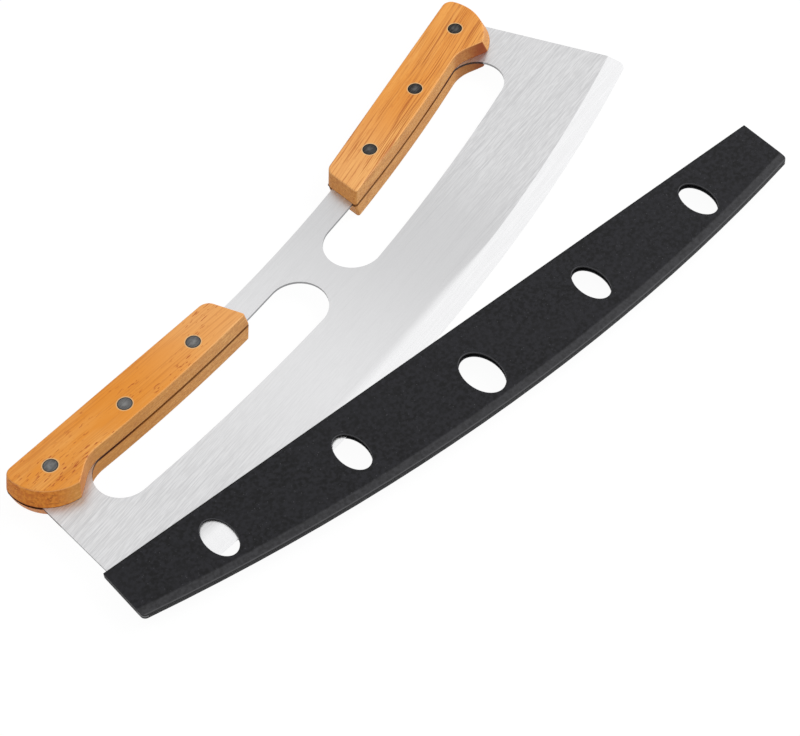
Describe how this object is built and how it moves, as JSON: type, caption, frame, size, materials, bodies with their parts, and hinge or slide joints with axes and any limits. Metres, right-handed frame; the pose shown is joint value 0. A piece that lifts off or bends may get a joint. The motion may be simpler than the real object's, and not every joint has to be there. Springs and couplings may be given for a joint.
{
  "type": "rocking pizza knife",
  "caption": "Rocking pizza knife: long curved steel blade with finger slots, a riveted wooden handle at each end, and a windowed edge cover that pulls off.",
  "frame": {"origin": "middle of the neck between the two finger slots, on the steel sheet's back face; the knife with its cover balances within 2 mm of it", "axes": "+X along the blade to the right handle, +Y from the cutting edge towards the handles' spine side, +Z out of the front face of the sheet, so the knife lies flat"},
  "size_m": [0.3604, 0.184, 0.017],
  "materials": {
    "blade_steel": "satin sheet steel, finely scratched lengthwise, brighter on the bevel",
    "handle_wood": "oiled warm orange-tan hardwood with dark flecks",
    "rivet_metal": "ground flush, dull dark grey",
    "cover_plastic": "fine-grained matte charcoal moulding"
  },
  "bodies": {
    "knife": {"blade": "blade_steel", "left_front_handle_scale": "handle_wood", "left_back_handle_scale": "handle_wood", "right_front_handle_scale": "handle_wood", "right_back_handle_scale": "handle_wood", "left_inner_rivet_post": "rivet_metal", "left_inner_rivet_sleeve": "rivet_metal", "left_middle_rivet_post": "rivet_metal", "left_middle_rivet_sleeve": "rivet_metal", "left_outer_rivet_post": "rivet_metal", "left_outer_rivet_sleeve": "rivet_metal", "right_inner_rivet_post": "rivet_metal", "right_inner_rivet_sleeve": "rivet_metal", "right_middle_rivet_post": "rivet_metal", "right_middle_rivet_sleeve": "rivet_metal", "right_outer_rivet_post": "rivet_metal", "right_outer_rivet_sleeve": "rivet_metal"},
    "cover": {"edge_cover": "cover_plastic"}
  },
  "joints": [
    {"name": "cover_pull", "type": "slide", "parent": "knife", "child": "cover", "axis": [-0.2622, -0.965, 0], "range_m": [0, 0.06]}
  ]
}
